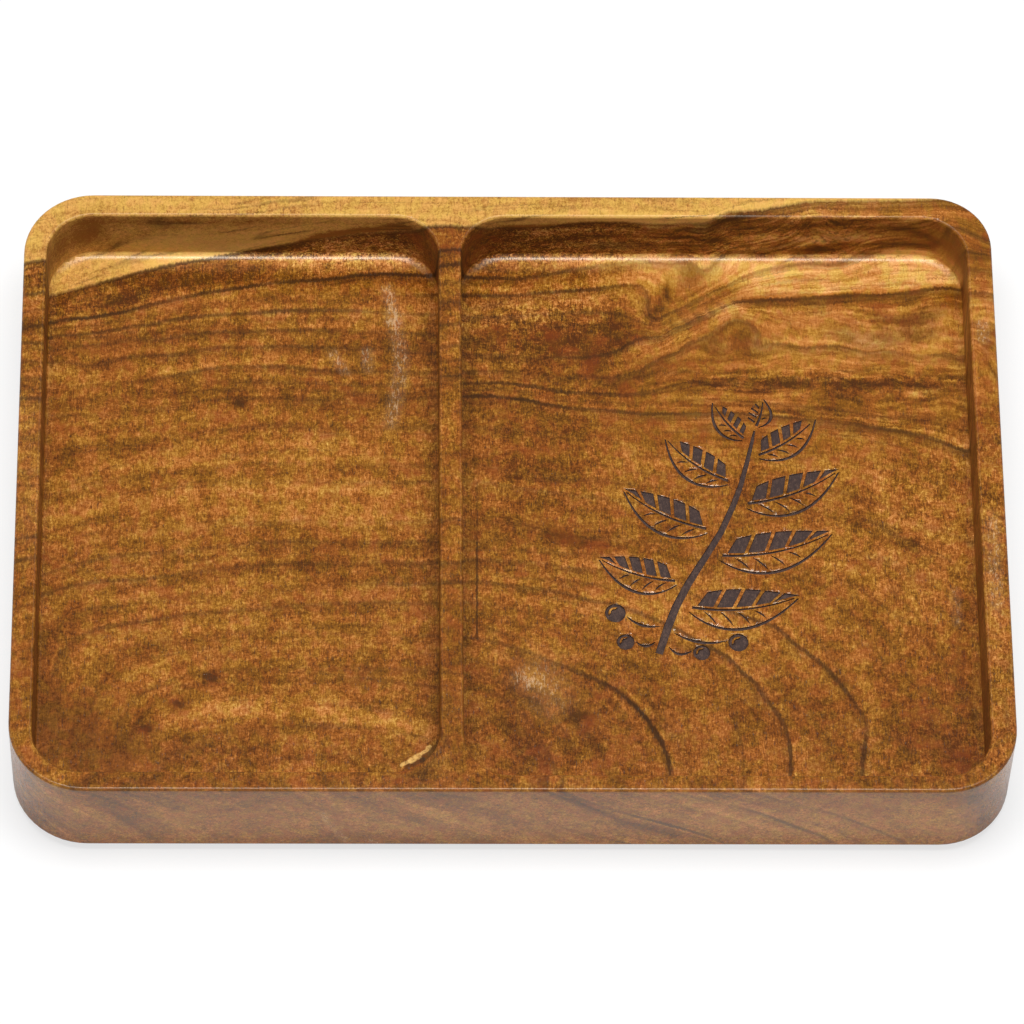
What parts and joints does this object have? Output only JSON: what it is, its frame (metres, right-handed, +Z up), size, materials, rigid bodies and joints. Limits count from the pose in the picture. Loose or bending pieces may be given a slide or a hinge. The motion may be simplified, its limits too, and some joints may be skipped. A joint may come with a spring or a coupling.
{
  "type": "valet tray",
  "caption": "Shallow rectangular hardwood valet tray with rounded corners, milled into a narrow and a wide compartment by a thin divider, on low rubber feet.",
  "frame": {"origin": "on the surface that the feet stand on, below the middle of the body", "axes": "+X to the right along the long side, +Y to the back, +Z up out of the compartments"},
  "size_m": [0.254, 0.1778, 0.032],
  "materials": {
    "hardwood": "oiled satin, brown heartwood with a strip of pale sapwood at the back",
    "foot_rubber": "matt",
    "adhesive_film": "matt"
  },
  "bodies": {
    "root": {"tray_body": "hardwood", "foot_front_left": "foot_rubber", "foot_front_right": "foot_rubber", "foot_back_left": "foot_rubber", "foot_back_right": "foot_rubber", "adhesive_disc_front_left": "adhesive_film", "adhesive_disc_front_right": "adhesive_film", "adhesive_disc_back_left": "adhesive_film", "adhesive_disc_back_right": "adhesive_film"}
  },
  "joints": []
}
